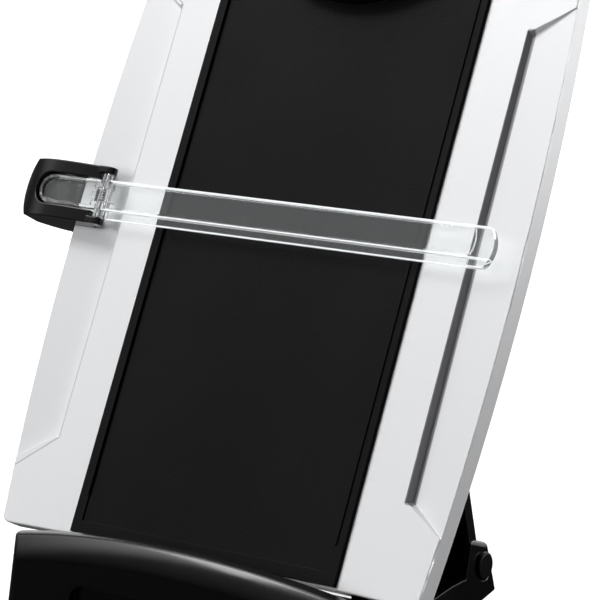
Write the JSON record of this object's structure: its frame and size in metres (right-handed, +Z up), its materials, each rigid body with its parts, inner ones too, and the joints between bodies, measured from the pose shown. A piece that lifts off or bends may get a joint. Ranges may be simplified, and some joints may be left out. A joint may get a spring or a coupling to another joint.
{
  "type": "copy holder with line guide",
  "caption": "Desk copy holder: a leaning silver and black paper board in a gloss base, with a clear sliding line guide, a top clip and a rear leg that sets the lean.",
  "frame": {"origin": "on the desk under the centre of the base's footprint", "axes": "+Z up, -Y towards the reader, +X to the reader's right; the board leans back towards +Y"},
  "size_m": [0.2823, 0.1865, 0.334],
  "materials": {
    "black_gloss": "gloss moulded",
    "black_satin": "satin moulded",
    "black_matte": "fine matte grain",
    "silver_plastic": "silver paint, satin",
    "clear_plastic": "clear polished",
    "rubber": "soft matte",
    "felt": "felt",
    "screw_steel": "zinc plated",
    "pin_steel": "ground",
    "spring_steel": "drawn wire"
  },
  "bodies": {
    "base": {"base_housing": "black_gloss", "base_bottom_plate": "black_satin", "base_screws": "screw_steel", "rubber_feet": "rubber", "board_hinge_pins": "pin_steel", "leg_pivot_pins": "black_satin"},
    "board": {"board_shell": "silver_plastic", "centre_panel": "black_matte", "board_back_cover": "black_satin", "back_cover_screws": "screw_steel", "angle_racks": "black_satin", "guide_rail": "black_satin", "rail_screws": "screw_steel", "clip_bracket": "black_satin", "clip_bracket_screws": "screw_steel", "clip_hinge_pin": "pin_steel", "clip_spring": "spring_steel"},
    "carriage": {"carriage_body": "black_gloss", "carriage_shoe": "black_satin", "carriage_screws": "screw_steel", "friction_pad": "felt", "guide_hinge_pin": "pin_steel", "guide_spring": "spring_steel"},
    "line_guide": {"line_guide": "clear_plastic"},
    "clip": {"clip_lever": "black_gloss", "clip_grip_pad": "rubber"},
    "leg": {"support_leg": "black_satin", "leg_tips": "rubber"}
  },
  "joints": [
    {"name": "board_tilt", "type": "hinge", "parent": "base", "child": "board", "pos_m": [0, -0.03778, 0.03962], "axis": [-1, 0, 0], "range_deg": [-6, 6]},
    {"name": "leg_swing", "type": "hinge", "parent": "base", "child": "leg", "pos_m": [0, 0.068, 0.017], "axis": [-1, 0, 0], "range_deg": [-8, 8]},
    {"name": "guide_slide", "type": "slide", "parent": "board", "child": "carriage", "axis": [0, 0.4644, 0.8856], "range_m": [-0.11, 0.087]},
    {"name": "guide_lift", "type": "hinge", "parent": "carriage", "child": "line_guide", "pos_m": [-0.1075, 0.02255, 0.18526], "axis": [0, -0.4644, -0.8856], "range_deg": [0, 5], "stiffness_Nm_per_rad": 0.25, "springref_deg": -14.32},
    {"name": "clip_open", "type": "hinge", "parent": "board", "child": "clip", "pos_m": [0, 0.08502, 0.3072], "axis": [-1, 0, 0], "range_deg": [0, 14], "stiffness_Nm_per_rad": 0.2, "springref_deg": -17.19, "deforming": ["clip_spring"]}
  ],
  "couplings": [
    {"joint": "leg_swing", "follows": "board_tilt", "ratio": 1.29}
  ]
}
